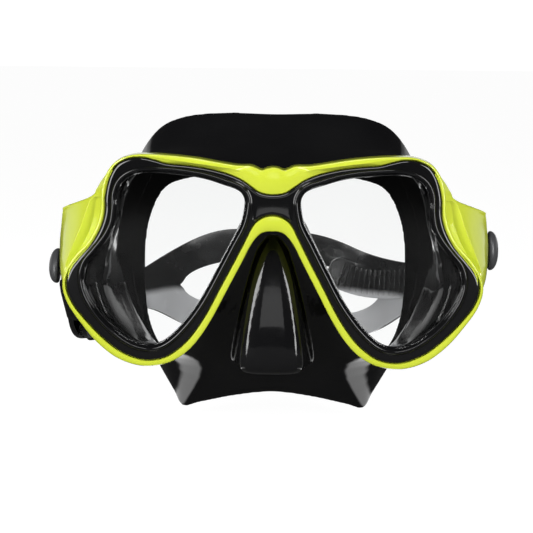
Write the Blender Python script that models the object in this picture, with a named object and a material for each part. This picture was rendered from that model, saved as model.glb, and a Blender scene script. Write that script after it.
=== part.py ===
"""Two-window snorkel mask: lime frame with swept ears, black lens bezel, tempered lenses, silicone skirt with a
nose pocket, ratchet buckles that swivel on the ears, and a split silicone strap.

Frame: +Z up, the wearer's face is towards +Y, the lenses look along -Y, and X = 0 is the mask's middle plane.
The origin is the centre of the face seal's opening at the depth of the lenses. Lengths are in millimetres.
"""

import math

import bmesh
import bpy
from mathutils import Matrix, Vector

MM = 0.001

# ---- driving dimensions ------------------------------------------------------------------------------
SWEEP = math.tan(math.radians(8.0))     # how fast each window sweeps back from the middle
BRIDGE_HALF = 12.0                      # half width of the curved stretch between the two flat windows
BEZEL_FRONT, BEZEL_BACK = -3.6, -0.3    # depth of the bezel, before the sweep
LENS_THICK = 3.2
LENS_MARGIN = 2.4                       # how far the glass runs under the bezel
FIT = 0.3                               # gap that touching pieces keep
PLATE_BACK = 5.5                        # back of the skirt's plate, which the frame's shelf holds
FRAME_FRONT, FRAME_BACK = -2.6, 8.6
SKIRT_WALL = 1.5
STRAP_THICK = 2.0
STRAP_HALF_WIDTH = 7.2
STRAP_PAD_HALF = 25.5                   # half height of the split pad behind the head

PIVOT_Y, PIVOT_Z = 21.5, 5.0            # the buckles' swivel axis, along X through both ears
LEFT_SWIVEL, RIGHT_SWIVEL = -46.0, -10.0  # each buckle's angle at rest, in degrees from the horizontal
EAR_SEAT_X = 76.6                       # flat face of the ear's boss, which the buckle's tongue turns on
PIVOT_R, PIVOT_BORE_R = 2.0, 2.3
TONGUE_R = 6.4
ROLLER_A, ROLLER_X, ROLLER_R = 33.0, 80.8, 2.5   # the strap roller, behind the pivot and out from the middle
AXLE_R = 1.0
WRAP_R = ROLLER_R + FIT + STRAP_THICK / 2
CHEEK_IN, CHEEK_OUT = 7.9, 9.5          # the buckle's two side cheeks
BODY_START, BODY_END = 11.0, 38.5
PAWL_A, PAWL_X, PAWL_PIN_R = 22.5, 79.4, 0.8
BUTTON_A = 14.4
BUTTON_LONG, BUTTON_WIDE = 8.0, 5.6     # half axes of the oval
BUTTON_BASE_X, BUTTON_TOP_X = 86.9, 91.1
BRIDGE_LOW_X, BRIDGE_HIGH_X = 84.1, 85.4
STEM_R, STEM_END_X = 1.4, 81.3
SPRING_R, SPRING_WIRE = 2.1, 0.2

# Half outlines in (x, z), from the top middle round the wearer's left window to the bottom middle.
BEZEL_HALF = [
    (0, 26.6), (4.8, 27.3), (8.7, 29.8), (12.5, 32.3), (18.3, 34.6), (26, 36.4), (33.7, 37.4),
    (41.4, 38.0), (46.2, 39.2), (51.5, 40.2), (56.8, 39.6), (61.2, 37.2), (63.8, 33.4), (65.3, 28.7),
    (66.0, 24.0), (66.1, 18.5), (67.9, 12.2), (71.6, 5.8), (76.6, 0.2), (80.6, -5.6), (81.5, -11.3),
    (79.0, -17.6), (73.7, -24.2), (67.0, -30.9), (59.6, -36.3), (51.0, -39.3), (43.2, -38.5),
    (37.2, -35.0), (31.8, -29.6), (26.0, -21.0), (20.2, -9.8), (14.4, 1.3), (10.4, 9.3), (7.6, 14.7),
    (4.4, 17.6), (0, 18.7),
]
GLASS = [
    (11.0, 22.8), (11.7, 26.2), (14.0, 28.3), (19.0, 30.0), (26.0, 32.1), (33.7, 33.4), (41.4, 34.1),
    (49.1, 34.2), (55.0, 33.0), (59.0, 30.1), (60.8, 25.7), (61.0, 19.9), (62.0, 13.7), (64.9, 8.0),
    (69.2, 2.5), (73.0, -2.4), (74.1, -8.4), (72.2, -15.0), (67.1, -22.3), (60.8, -28.2), (54.9, -31.9),
    (49.1, -33.3), (44.0, -32.3), (39.2, -28.9), (33.5, -22.6), (27.9, -14.4), (22.1, -3.5), (16.4, 7.7),
    (12.5, 15.4),
]
FRAME_HALF = [
    (0, 37.3), (2.2, 36.9), (4.4, 36.2), (6.6, 37.0), (9.0, 37.8), (14.4, 37.9), (22.0, 39.0),
    (30.0, 40.3), (39.5, 41.2), (49.0, 41.6), (55.6, 41.1), (61.3, 38.8), (65.0, 34.6), (67.0, 29.2),
    (67.6, 24.0), (67.8, 18.8), (69.5, 12.8), (73.0, 6.7), (78.2, 1.0), (82.0, -5.2), (83.0, -11.4),
    (80.8, -18.2), (75.6, -25.6), (69.1, -33.0), (61.0, -39.0), (51.6, -41.8), (42.4, -40.9),
    (35.4, -37.4), (29.6, -31.8), (23.8, -23.0), (18.0, -11.8), (12.2, -0.6), (8.4, 6.9), (5.4, 10.8),
    (2.8, 12.2), (0, 12.4),
]
# The top middle of the skirt's plate, which reaches up behind the frame's brow.
PLATE_BROW = [(0, 33.4), (6.0, 33.4), (12.0, 33.6)]

# The skirt's rings, in (x, y, z) at fourteen stations from the brow round to the upper lip.
SKIRT_NECK = [
    (0, 12, 33.5), (18, 13, 35.6), (38, 16, 36.8), (51, 18, 37.0), (60, 20, 28.5), (62.8, 21, 14.0),
    (67.0, 22, 0.5), (69.5, 22, -12.5), (62.0, 20, -29.0), (50.5, 18, -36.0), (38.0, 15.5, -32.5),
    (26.0, 13, -17.5), (13.5, 11, 3.0), (0, 10, 16.0),
]
SKIRT_WAIST = [
    (0, 24, 40.5), (19, 24.5, 41.4), (38, 26, 41.0), (50, 28, 38.2), (58.5, 32, 28.0), (62.6, 35, 12.0),
    (65.0, 36, -3.0), (64.5, 35, -16.5), (57.0, 33, -31.5), (45.5, 29, -39.0), (33.5, 25, -38.0),
    (22.0, 21, -30.5), (11.0, 18, -22.0), (0, 17, -18.0),
]
SKIRT_SHOULDER = [
    (0, 33, 46.2), (19, 33.5, 46.6), (37.4, 35.5, 44.8), (49.8, 39, 39.4), (58.2, 45, 27.5),
    (63.0, 50, 11.0), (63.6, 51, -6.0), (60.5, 49, -20.5), (54.0, 45.5, -33.5), (44.5, 40.5, -43.4),
    (32.0, 34.5, -46.4), (21.0, 30.5, -46.4), (10.5, 28.6, -45.8), (0, 28.1, -45.6),
]
SKIRT_RIM = [
    (0, 46, 56.6), (20, 46.5, 57.0), (38.0, 48.5, 55.0), (49.8, 52, 48.6), (59.2, 57, 33.0),
    (64.6, 61.5, 13.0), (66.0, 62.5, -6.0), (63.0, 60.5, -22.0), (55.4, 57, -36.5), (42.6, 50.9, -57.6),
    (37.8, 49.2, -65.4), (30.6, 45.8, -63.4), (15.0, 40.6, -59.3), (0, 38.8, -57.4),
]
SKIRT_SEAL = [
    (0, 49.5, 44.5), (20, 50, 44.3), (38.5, 52, 42.0), (48.5, 55.5, 35.8), (55.5, 60, 24.0),
    (60.6, 64, 9.0), (61.2, 65, -6.0), (58.8, 63.5, -20.2), (53.4, 60.6, -34.4), (42.2, 55.4, -49.2),
    (33.8, 51, -55.8), (25.0, 46.8, -54.8), (13.0, 42.8, -52.8), (0, 41.6, -51.8),
]
SKIRT_LIP = [
    (0, 46.0, 33.5), (20, 46.5, 32.0), (36.5, 48.5, 29.6), (45.6, 51.5, 25.4), (51.2, 55.5, 15.6),
    (53.8, 58.5, 4.5), (54.4, 59.5, -7.0), (54.0, 59.0, -18.8), (52.0, 57.2, -31.0), (46.6, 54.0, -41.4),
    (34.6, 48.0, -47.8), (22.0, 43.2, -47.8), (11.0, 40.2, -46.4), (0, 39.4, -46.0),
]

# The nose pocket's level sections: height, half width of its front face, that face's depth, half width behind.
NOSE_LEVELS = [
    (12.5, 1.4, 13.5, 4.0), (9.0, 2.6, 10.8, 6.4), (3.0, 4.6, 8.0, 9.2), (-6.0, 6.7, 5.2, 11.8),
    (-17.0, 8.7, 2.4, 14.2), (-29.0, 10.4, 0.6, 16.0), (-40.2, 11.2, 0.2, 17.2), (-43.4, 10.2, 1.6, 16.8),
    (-44.6, 8.2, 4.2, 15.6),
]
NOSE_BACK = 33.0

# The ear's level sections: height, then its outer face from the bezel's rim to its rear edge, in (x, y).
EAR_LEVELS = [
    (35.0, [(63.0, 5.8), (63.6, 6.6), (64.0, 7.4), (64.3, 8.2), (64.6, 9.2)]),
    (31.0, [(65.0, 6.0), (65.8, 6.8), (66.4, 7.6), (67.0, 8.6), (67.6, 9.8)]),
    (27.4, [(66.0, 6.2), (67.2, 7.6), (68.2, 8.4), (69.0, 9.4), (69.8, 10.6)]),
    (24.8, [(66.3, 6.4), (68.4, 8.2), (69.8, 8.8), (71.0, 9.8), (72.0, 11.2)]),
    (23.8, [(66.4, 6.6), (69.2, 9.2), (71.6, 9.4), (77.6, 15.2), (83.6, 22.6)]),
    (21.6, [(66.6, 6.4), (70.0, 10.0), (73.0, 9.6), (79.0, 15.8), (84.8, 24.2)]),
    (14.0, [(67.8, 6.4), (71.4, 11.2), (75.6, 9.4), (81.2, 16.4), (85.6, 26.0)]),
    (6.0, [(72.0, 6.8), (74.8, 11.2), (78.6, 9.8), (83.2, 16.8), (86.2, 26.4)]),
    (0.6, [(76.2, 7.4), (78.0, 10.8), (80.8, 10.0), (84.0, 16.0), (86.0, 24.0)]),
    (-3.2, [(79.4, 7.8), (80.4, 10.2), (82.0, 10.2), (84.2, 14.8), (85.4, 19.6)]),
    (-7.5, [(80.6, 8.0), (81.2, 9.0), (82.5, 10.0), (83.6, 12.4), (84.4, 15.2)]),
    (-12.5, [(80.8, 8.2), (81.2, 9.0), (81.8, 9.8), (82.2, 10.8), (82.5, 12.0)]),
]
EAR_THICK = 2.7
EAR_SLOPE = 0.34                        # how steeply the ear's top edge falls away outwards

# The strap's middle line behind the buckles, in (x, y, z), from the left buckle to the right one.
STRAP_ROUTE = [
    (-80.2, 74, -33.5), (-72.5, 97, -30.0), (-58.5, 119, -24.5), (-36.0, 138.0, -24.5), (0, 147.5, -25.5),
    (36.0, 139.5, -28.0), (59.0, 121, -22.2), (74.0, 98, -14.5), (82.0, 77, -6.5),
]
PAD_START, PAD_END = 74.0, 244.0        # where the strap widens, along its length from the left roller
LEFT_FLARE, RIGHT_FLARE = 60.0, 80.0    # how long it takes to reach its full width
SLOT_START, SLOT_END = 107.0, 205.0     # the split's two ends
SLOT_HALF = 12.5
TAIL_GAP = 3.4                          # how far inside the strap's middle line a tail's lies
LEFT_TAIL, RIGHT_TAIL = 58.0, 121.0     # free lengths that double back inside the strap
TAIL_LIFT = 11.0                        # how far a long tail's tip has climbed across the strap
KEEPER_AT = 38.0                        # how far behind its roller each keeper sits


# ---- small tools -------------------------------------------------------------------------------------
def clear_scene():
    for obj in list(bpy.data.objects):
        bpy.data.objects.remove(obj)


def material(name, colour, roughness, metallic=0.0):
    mat = bpy.data.materials.new(name)
    mat.use_nodes = True
    shader = mat.node_tree.nodes["Principled BSDF"]
    shader.inputs["Base Color"].default_value = (*colour, 1.0)
    shader.inputs["Roughness"].default_value = roughness
    shader.inputs["Metallic"].default_value = metallic
    mat.diffuse_color = (*colour, 1.0)
    return mat


def catmull_rom(points, steps, closed):
    """A smooth line through the points, with this many steps from each to the next."""
    points = [Vector(p) for p in points]
    count = len(points)
    line = []
    for i in range(count if closed else count - 1):
        if closed:
            a, b, c, d = (points[(i + k) % count] for k in (-1, 0, 1, 2))
        else:
            b, c = points[i], points[i + 1]
            a = points[i - 1] if i > 0 else 2 * b - c
            d = points[i + 2] if i + 2 < count else 2 * c - b
        for s in range(steps):
            t = s / steps
            bend = (2 * a - 5 * b + 4 * c - d) * t**2 + (3 * b - a - 3 * c + d) * t**3
            line.append(0.5 * (2 * b + (c - a) * t + bend))
    if not closed:
        line.append(points[-1])
    return line


def both_sides(half):
    """A whole outline from its half: the first and last points lie on the middle plane."""
    return half + [(-p[0], *p[1:]) for p in reversed(half[1:-1])]


def outset(loop, distance):
    """A clockwise (x, z) loop moved outwards by the distance."""
    moved = []
    for i, p in enumerate(loop):
        along = (loop[(i + 1) % len(loop)] - loop[i - 1]).normalized()
        moved.append(p + Vector((-along.y, along.x)) * distance)
    return moved


def sweep_back(x):
    """How far back the mask's front lies at this x: curved over the bridge, flat over each window."""
    x = abs(x)
    return SWEEP * (x * x / (2 * BRIDGE_HALF) if x < BRIDGE_HALF else x - BRIDGE_HALF / 2)


def finish_mesh(bm, name):
    bmesh.ops.recalc_face_normals(bm, faces=bm.faces)
    mesh = bpy.data.meshes.new(name)
    bm.to_mesh(mesh)
    bm.free()
    return mesh


def add_object(name, mesh, mat, parent=None, sharp=35):
    obj = bpy.data.objects.new(name, mesh)
    bpy.context.scene.collection.objects.link(obj)
    if mat is not None:
        mesh.materials.clear()
        mesh.materials.append(mat)
    mesh.shade_smooth()
    mesh.set_sharp_from_angle(angle=math.radians(sharp))
    obj.parent = parent
    return obj


def prism(loop, y0, y1):
    """A solid between two depths, whose outline is an (x, z) loop."""
    bm = bmesh.new()
    front = [bm.verts.new((p[0] * MM, y0 * MM, p[1] * MM)) for p in loop]
    back = [bm.verts.new((p[0] * MM, y1 * MM, p[1] * MM)) for p in loop]
    bm.faces.new(front)
    bm.faces.new(reversed(back))
    for i in range(len(loop)):
        j = (i + 1) % len(loop)
        bm.faces.new((front[i], back[i], back[j], front[j]))
    return finish_mesh(bm, "prism")


def loft(rings, ring_closed=False):
    """A solid through rings of equal length. With ring_closed the last ring joins the first, as on a tyre."""
    bm = bmesh.new()
    rows = [[bm.verts.new(Vector(p) * MM) for p in ring] for ring in rings]
    spans = len(rows) if ring_closed else len(rows) - 1
    for r in range(spans):
        a, b = rows[r], rows[(r + 1) % len(rows)]
        for i in range(len(a)):
            j = (i + 1) % len(a)
            bm.faces.new((a[i], a[j], b[j], b[i]))
    if not ring_closed:
        bm.faces.new(rows[0])
        bm.faces.new(reversed(rows[-1]))
    return finish_mesh(bm, "loft")


def cylinder(radius, start, end, segments=24, bore=0.0):
    """A round bar or tube between two points, in millimetres."""
    start, end = Vector(start), Vector(end)
    turn = (end - start).to_track_quat("Z", "Y").to_matrix()
    circle = [2 * math.pi * i / segments for i in range(segments)]

    def ring(r, centre):
        return [centre + turn @ Vector((r * math.cos(t), r * math.sin(t), 0)) for t in circle]

    if bore:
        rings = [ring(bore, start), ring(radius, start), ring(radius, end), ring(bore, end)]
        return loft(rings, ring_closed=True)
    return loft([ring(radius, start), ring(radius, end)])


def box(low, high):
    bm = bmesh.new()
    bmesh.ops.create_cube(bm, size=1.0)
    low, high = Vector(low), Vector(high)
    size = high - low
    for v in bm.verts:
        v.co = Vector([(low[k] + (v.co[k] + 0.5) * size[k]) * MM for k in range(3)])
    return finish_mesh(bm, "box")


def combine(base, steps):
    """The mesh left after joining ("UNION") or cutting ("DIFFERENCE") the other meshes in turn."""
    obj = bpy.data.objects.new("work", base)
    bpy.context.scene.collection.objects.link(obj)
    for operation, mesh in steps:
        tool = bpy.data.objects.new("tool", mesh)
        bpy.context.scene.collection.objects.link(tool)
        modifier = obj.modifiers.new("step", "BOOLEAN")
        modifier.operation = operation
        modifier.solver = "EXACT"
        modifier.object = tool
        graph = bpy.context.evaluated_depsgraph_get()
        result = bpy.data.meshes.new_from_object(obj.evaluated_get(graph))
        obj.modifiers.clear()
        obj.data = result
        bpy.data.objects.remove(tool)
    mesh = obj.data
    bpy.data.objects.remove(obj)
    return mesh


def bend_to_sweep(mesh):
    """Sweeps a front piece back, after cutting it where the bridge curves so that it bends smoothly."""
    bm = bmesh.new()
    bm.from_mesh(mesh)
    cuts = 8
    for k in range(-cuts, cuts + 1):
        geometry = bm.verts[:] + bm.edges[:] + bm.faces[:]
        x = BRIDGE_HALF * k / cuts * MM
        bmesh.ops.bisect_plane(bm, geom=geometry, dist=1e-7, plane_co=(x, 0, 0), plane_no=(1, 0, 0))
    for v in bm.verts:
        v.co.y += sweep_back(v.co.x / MM) * MM
    bm.to_mesh(mesh)
    bm.free()
    return mesh


def mirrored(mesh):
    copy = mesh.copy()
    copy.transform(Matrix.Scale(-1, 4, (1, 0, 0)))
    copy.flip_normals()
    return copy


# ---- outlines ----------------------------------------------------------------------------------------
def window(distance):
    """Both windows' outlines, moved outwards from the edge of the visible glass."""
    right = outset(catmull_rom(GLASS, 2, True), distance)
    left = [Vector((-p.x, p.y)) for p in reversed(right)]
    return right, left


def bezel_loop(distance=0.0):
    return outset(catmull_rom(both_sides(BEZEL_HALF), 2, True), distance)


def plate_loop(distance=0.0):
    """The skirt's plate: the bezel's outline drawn in, with a raised brow."""
    inset_by = 0.9
    stations = len(PLATE_BROW)
    half = PLATE_BROW + [tuple(p) for p in BEZEL_HALF[stations + 1:]]
    return outset(catmull_rom(both_sides(half), 2, True), distance - inset_by)


# ---- front of the mask -------------------------------------------------------------------------------
def make_lens(name, side, mat):
    return add_object(name, bend_to_sweep(prism(window(LENS_MARGIN)[side], 0.0, LENS_THICK)), mat)


def make_bezel(mat):
    """One black ring round each window, joined over the nose, with a raised lip at the glass."""
    band_front = BEZEL_FRONT + 1.1
    steps = []
    for loop in window(2.2):
        steps.append(("UNION", prism(loop, BEZEL_FRONT, BEZEL_BACK - 0.4)))
    for wide, narrow in zip(window(1.3), window(0.0)):
        funnel = [[(p.x, BEZEL_FRONT - 0.5, p.y) for p in wide], [(p.x, BEZEL_BACK + 0.5, p.y) for p in narrow]]
        steps.append(("DIFFERENCE", loft(funnel)))
    outer = [
        [(p.x, band_front, p.y) for p in bezel_loop(-1.0)],
        [(p.x, band_front + 0.9, p.y) for p in bezel_loop(0.0)],
        [(p.x, BEZEL_BACK, p.y) for p in bezel_loop(0.0)],
    ]
    return add_object("lens_bezel", bend_to_sweep(combine(loft(outer), steps)), mat)


def ear_mesh():
    """The swept ear: a curved wall, scooped beside the bezel and ridged where it turns back."""
    rings = []
    for z, face in EAR_LEVELS:
        face = [Vector(p) for p in face]
        inner = []
        for i, p in enumerate(face):
            along = (face[min(i + 1, len(face) - 1)] - face[max(i - 1, 0)]).normalized()
            inner.append(p + Vector((-along.y, along.x)) * EAR_THICK)
        ring = []
        for p in face + inner[::-1]:
            drop = EAR_SLOPE * max(0.0, p.x - 71.0) * max(0.0, (z - 6.0) / 17.6)
            ring.append((p.x, p.y, z - drop))
        rings.append(ring)
    return loft(rings)


def make_chassis(mat):
    """The lime frame: a deep rim round the bezel, a shelf behind the skirt's plate, and an ear at each side."""
    frame_loop = catmull_rom(both_sides(FRAME_HALF), 2, True)
    rim = [
        [(p.x, FRAME_FRONT, p.y) for p in outset(frame_loop, -0.5)],
        [(p.x, FRAME_FRONT + 0.9, p.y) for p in frame_loop],
        [(p.x, FRAME_BACK, p.y) for p in outset(frame_loop, 0.3)],
    ]
    ring = bend_to_sweep(loft(rim))
    boss = cylinder(4.4, (EAR_SEAT_X, PIVOT_Y, PIVOT_Z), (83.2, PIVOT_Y, PIVOT_Z))
    bore = cylinder(PIVOT_BORE_R, (EAR_SEAT_X - 3, PIVOT_Y, PIVOT_Z), (82.0, PIVOT_Y, PIVOT_Z))
    room = cylinder(TONGUE_R + 0.6, (EAR_SEAT_X - 6, PIVOT_Y, PIVOT_Z), (EAR_SEAT_X, PIVOT_Y, PIVOT_Z), 32)
    ear = combine(ear_mesh(), [("UNION", boss)])
    bezel_pocket = bend_to_sweep(prism(bezel_loop(0.35), FRAME_FRONT - 4, BEZEL_BACK + 0.1))
    plate_pocket = bend_to_sweep(prism(plate_loop(0.35), BEZEL_BACK, PLATE_BACK + FIT))
    throat = bend_to_sweep(prism(plate_loop(-1.2), BEZEL_BACK, FRAME_BACK + 12))
    steps = [("UNION", ear), ("UNION", mirrored(ear))]
    steps += [("DIFFERENCE", bezel_pocket), ("DIFFERENCE", plate_pocket)]
    steps += [("DIFFERENCE", throat), ("DIFFERENCE", bore), ("DIFFERENCE", mirrored(bore))]
    steps += [("DIFFERENCE", room), ("DIFFERENCE", mirrored(room))]
    return add_object("chassis_frame", combine(ring, steps), mat)


# ---- skirt -------------------------------------------------------------------------------------------
def skirt_ring(stations):
    return catmull_rom(both_sides(stations), 3, True)


def inner_rings(rings):
    """The wall's inside: each ring moved square to the surface that the rings make."""
    count = len(rings[0])
    inner = []
    for r, ring in enumerate(rings):
        ahead, behind = rings[min(r + 1, len(rings) - 1)], rings[max(r - 1, 0)]
        moved = []
        for i, p in enumerate(ring):
            round_way = ring[(i + 1) % count] - ring[i - 1]
            moved.append(p - round_way.cross(ahead[i] - behind[i]).normalized() * SKIRT_WALL)
        inner.append(moved)
    return inner


def nose_pocket(shrink, back):
    """The pocket's outside, or its hollow when shrunk."""
    rings = []
    last = len(NOSE_LEVELS) - 1
    for i, (z, front_half, front_y, back_half) in enumerate(NOSE_LEVELS):
        z += -shrink if i == 0 else shrink if i == last else 0
        w, b, y = front_half - shrink * 0.7, back_half - shrink, front_y + shrink
        half = [(0, y - 0.5), (w * 0.55, y - 0.3), (w * 0.9, y + 0.5), (w + 1.0, y + 2.2)]
        half += [(b, NOSE_BACK), (b, back)]
        rings.append([(x, depth, z) for x, depth in half + [(-x, depth) for x, depth in reversed(half[1:])]])
    return loft(rings)


def make_skirt(mat):
    """One silicone moulding: a plate that grips the lenses, walls, flared brow and lip, and the nose pocket."""
    neck = skirt_ring(SKIRT_NECK)
    throat = [Vector((p.x, 0, p.y)) for p in plate_loop(-2.0)]
    front = []
    for p in neck:
        q = min(throat, key=lambda t: (t.x - p.x)**2 + (t.z - p.z)**2)
        front.append(Vector((q.x, PLATE_BACK - 0.6 + sweep_back(q.x), q.z)))
    collar = [Vector((p.x, FRAME_BACK + 0.6 + sweep_back(p.x), p.z)) for p in front]
    waist, shoulder, rim = skirt_ring(SKIRT_WAIST), skirt_ring(SKIRT_SHOULDER), skirt_ring(SKIRT_RIM)
    seal, lip = skirt_ring(SKIRT_SEAL), skirt_ring(SKIRT_LIP)
    rim_back = [p + Vector((0, 1.4, 0)) for p in rim]
    lip_front = [p + Vector((0, -1.3, 0)) for p in lip]
    seal_front = [p + Vector((0, -SKIRT_WALL - 0.6, 0)) for p in seal]
    rings = [front, collar, neck, waist, shoulder, rim, rim_back, seal, lip, lip_front, seal_front]
    rings += inner_rings(rings[:5])[::-1]
    steps = [("UNION", bend_to_sweep(prism(plate_loop(), 0.0, PLATE_BACK)))]
    steps += [("UNION", nose_pocket(0.0, NOSE_BACK + 0.5)), ("DIFFERENCE", nose_pocket(1.7, NOSE_BACK + 12))]
    for side in (0, 1):
        seat = bend_to_sweep(prism(window(LENS_MARGIN + FIT)[side], -1.0, LENS_THICK + FIT))
        opening = bend_to_sweep(prism(window(0.3)[side], -1.0, PLATE_BACK + 0.4))
        steps += [("DIFFERENCE", seat), ("DIFFERENCE", opening)]
    return add_object("skirt", combine(loft(rings, ring_closed=True), steps), mat)


# ---- buckles: built for the +X side about the swivel axis, in (out from the middle, behind the axis, up) 
def buckle_body():
    """Tongue, floor, two cheeks and a bridge that carries the button."""
    floor_outline = [
        (3.0, 5.6), (BODY_START, 6.2), (BODY_START + 4.5, CHEEK_OUT), (BODY_END - 2.0, CHEEK_OUT),
        (BODY_END, CHEEK_OUT - 2.0),
    ]
    floor_outline += [(a, -up) for a, up in reversed(floor_outline)]
    low, high = EAR_SEAT_X - 3.3, EAR_SEAT_X - 1.2
    floor = loft([[(x, a, up) for a, up in floor_outline] for x in (low, high)])
    steps = [("UNION", floor)]
    cheek_outline = [
        (low + 0.3, BODY_START + 4.6), (84.6, BODY_START + 1.6), (86.2, BODY_START + 3.4), (86.2, BODY_START + 9.0),
        (85.0, ROLLER_A + 3.2), (82.4, BODY_END - 0.3), (low + 0.3, BODY_END - 0.3),
    ]
    for sign in (1, -1):
        span = sorted((sign * CHEEK_IN, sign * CHEEK_OUT))
        steps.append(("UNION", loft([[(x, a, up) for x, a in cheek_outline] for up in span])))
    steps.append(("UNION", box((BRIDGE_LOW_X, 11.9, -CHEEK_IN - 0.6), (BRIDGE_HIGH_X, 18.8, CHEEK_IN + 0.6))))
    bridge_foot = box((low + 0.2, BODY_START - 0.4, -6.0), (BRIDGE_HIGH_X - 0.2, BODY_START + 1.2, 6.0))
    steps.append(("UNION", bridge_foot))
    steps.append(("DIFFERENCE", cylinder(PIVOT_BORE_R, (60, 0, 0), (90, 0, 0))))
    steps.append(("DIFFERENCE", cylinder(STEM_R + FIT, (82, BUTTON_A, 0), (90, BUTTON_A, 0), 20)))
    for x, a, r in ((ROLLER_X, ROLLER_A, AXLE_R), (PAWL_X, PAWL_A, PAWL_PIN_R)):
        steps.append(("DIFFERENCE", cylinder(r + 0.2, (x, a, -12), (x, a, 12), 16)))
    return combine(cylinder(TONGUE_R, (low + 0.1, 0, 0), (EAR_SEAT_X - 0.4, 0, 0), 32), steps)


def release_button():
    """The oval domed cap and its stem, which pushes the pawl's arm."""
    rings = []
    profile = ((0.0, 0.93), (0.7, 1.0), (1.6, 0.98), (2.7, 0.86), (3.6, 0.62), (4.05, 0.34), (4.2, 0.1))
    for height, share in profile:
        angles = [2 * math.pi * i / 28 for i in range(28)]
        x = BUTTON_BASE_X + height
        rings.append([(x, BUTTON_A + BUTTON_WIDE * share * math.cos(t), BUTTON_LONG * share * math.sin(t))
                      for t in angles])
    stem = cylinder(STEM_R, (STEM_END_X, BUTTON_A, 0), (BUTTON_BASE_X + 1.0, BUTTON_A, 0), 16)
    return combine(loft(rings), [("UNION", stem)])


def pawl_lever():
    """A barrel on the pawl's pin, with an arm under the button's stem and a tooth against the strap's ribs."""
    x, a = PAWL_X, PAWL_A
    barrel = cylinder(2.0, (x, a, -7.5), (x, a, 7.5), 20)
    tooth_outline = [
        (x + 1.2, a + 0.9), (x + 1.9, a + 3.6), (x + 1.4, a + 4.9), (x + 0.2, a + 4.0), (x - 0.9, a + 0.9)]
    arm_outline = [(x - 0.9, a - 0.9), (x - 0.6, a - 9.0), (x + 1.5, a - 9.0), (x + 1.4, a - 0.9)]
    tooth = loft([[(px, pa, z) for px, pa in tooth_outline] for z in (-6.8, 6.8)])
    arm = loft([[(px, pa, z) for px, pa in arm_outline] for z in (-2.8, 2.8)])
    bore = cylinder(PAWL_PIN_R + 0.25, (x, a, -9), (x, a, 9), 16)
    return combine(barrel, [("UNION", tooth), ("UNION", arm), ("DIFFERENCE", bore)])


def button_spring():
    """A compression spring between the bridge and the cap, round the stem."""
    turns, per_turn, around = 2, 14, 6
    low = BRIDGE_HIGH_X + SPRING_WIRE + 0.15
    rise = BUTTON_BASE_X - 0.15 - SPRING_WIRE - low
    rings = []
    for i in range(turns * per_turn + 1):
        t = 2 * math.pi * i / per_turn
        out = Vector((0, math.cos(t), math.sin(t)))
        centre = Vector((low + rise * i / (turns * per_turn), BUTTON_A, 0)) + out * SPRING_R
        ring = []
        for k in range(around):
            turn = 2 * math.pi * k / around
            aside = Vector((SPRING_WIRE * math.sin(turn), 0, 0))
            ring.append(centre + out * SPRING_WIRE * math.cos(turn) + aside)
        rings.append(ring)
    return loft(rings)


def make_buckle(side, sign, angle, mats):
    """One buckle's pieces, on an empty at the swivel axis that is turned to its rest angle."""
    axis = bpy.data.objects.new(f"{side}_swivel_axis", None)
    bpy.context.scene.collection.objects.link(axis)
    axis.location = (0, PIVOT_Y * MM, PIVOT_Z * MM)
    axis.rotation_euler = (math.radians(angle), 0, 0)

    def add(name, mesh, mat, origin=(0, 0, 0)):
        if sign < 0:
            mesh = mirrored(mesh)
        origin = Vector((sign * origin[0], origin[1], origin[2])) * MM
        mesh.transform(Matrix.Translation(-origin))
        obj = add_object(f"{name}_{side}", mesh, mat, axis)
        obj.location = origin

    roller_at, pawl_at = (ROLLER_X, ROLLER_A, 0), (PAWL_X, PAWL_A, 0)
    roller_ends = [(ROLLER_X, ROLLER_A, up) for up in (-7.5, 7.5)]
    axle_ends = [(ROLLER_X, ROLLER_A, up) for up in (-9.3, 9.3)]
    pin_ends = [(PAWL_X, PAWL_A, up) for up in (-9.3, 9.3)]
    add("buckle_body", buckle_body(), mats["black"])
    add("strap_roller", cylinder(ROLLER_R, *roller_ends, 24, AXLE_R + 0.25), mats["black"], roller_at)
    add("roller_axle", cylinder(AXLE_R, *axle_ends, 16), mats["steel"], roller_at)
    add("release_button", release_button(), mats["button"], (BUTTON_BASE_X, BUTTON_A, 0))
    add("button_spring", button_spring(), mats["steel"], (BRIDGE_HIGH_X, BUTTON_A, 0))
    add("pawl_lever", pawl_lever(), mats["black"], pawl_at)
    add("pawl_pin", cylinder(PAWL_PIN_R, *pin_ends, 16), mats["steel"], pawl_at)


def make_pivot_pin(side, sign, mat):
    """The pin that holds a buckle's tongue against the ear's boss."""
    head = cylinder(3.7, (EAR_SEAT_X - 4.9, 0, 0), (EAR_SEAT_X - 3.6, 0, 0))
    mesh = combine(head, [("UNION", cylinder(PIVOT_R, (EAR_SEAT_X - 4.5, 0, 0), (81.7, 0, 0)))])
    if sign < 0:
        mesh = mirrored(mesh)
    pin = add_object(f"pivot_pin_{side}", mesh, mat)
    pin.location = (0, PIVOT_Y * MM, PIVOT_Z * MM)


# ---- strap -------------------------------------------------------------------------------------------
def at_buckle(angle, sign, out, behind, up=0.0):
    """A point given at a buckle, in the mask's frame."""
    t = math.radians(angle)
    y = PIVOT_Y + behind * math.cos(t) - up * math.sin(t)
    return Vector((sign * out, y, PIVOT_Z + behind * math.sin(t) + up * math.cos(t)))


def resample(line, step):
    """The line's points again, evenly spaced along it."""
    length = sum((q - p).length for p, q in zip(line, line[1:]))
    count = max(2, round(length / step))
    gap = length / count
    points, walked, target = [line[0]], 0.0, gap
    for p, q in zip(line, line[1:]):
        span = (q - p).length
        while walked + span >= target - 1e-9 and len(points) < count:
            points.append(p.lerp(q, (target - walked) / span))
            target += gap
        walked += span
    return points + [line[-1]]


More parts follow.
